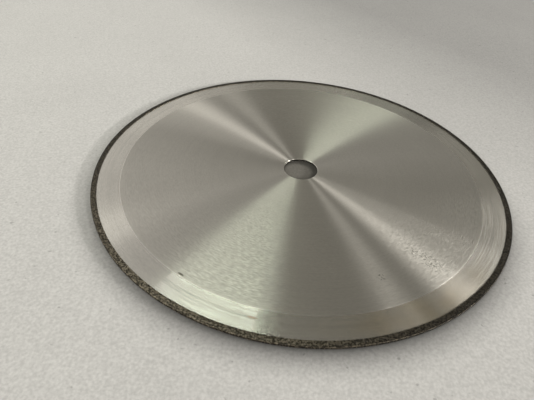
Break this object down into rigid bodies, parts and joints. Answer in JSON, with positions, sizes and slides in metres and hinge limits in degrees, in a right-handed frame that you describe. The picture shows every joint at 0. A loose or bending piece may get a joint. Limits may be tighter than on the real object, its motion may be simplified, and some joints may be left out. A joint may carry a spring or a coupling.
{
  "type": "cbn saw blade",
  "caption": "Flat round cut-off blade: a thin steel disc with a plain central bore, ground relief bands and a continuous rim of plated abrasive grit.",
  "frame": {"origin": "centre of the bore, in the blade's mid-plane", "axes": "+Z along the bore, square to the blade; the blade is the same on both faces and round about +Z, so +X and +Y are free"},
  "size_m": [0.3, 0.3, 0.002],
  "materials": {
    "ground_steel": "satin, ground in circles about the bore",
    "plated_grit": "rough, dark grit with bright specks"
  },
  "bodies": {
    "root": {"steel_core": "ground_steel", "abrasive_rim": "plated_grit"}
  },
  "joints": []
}
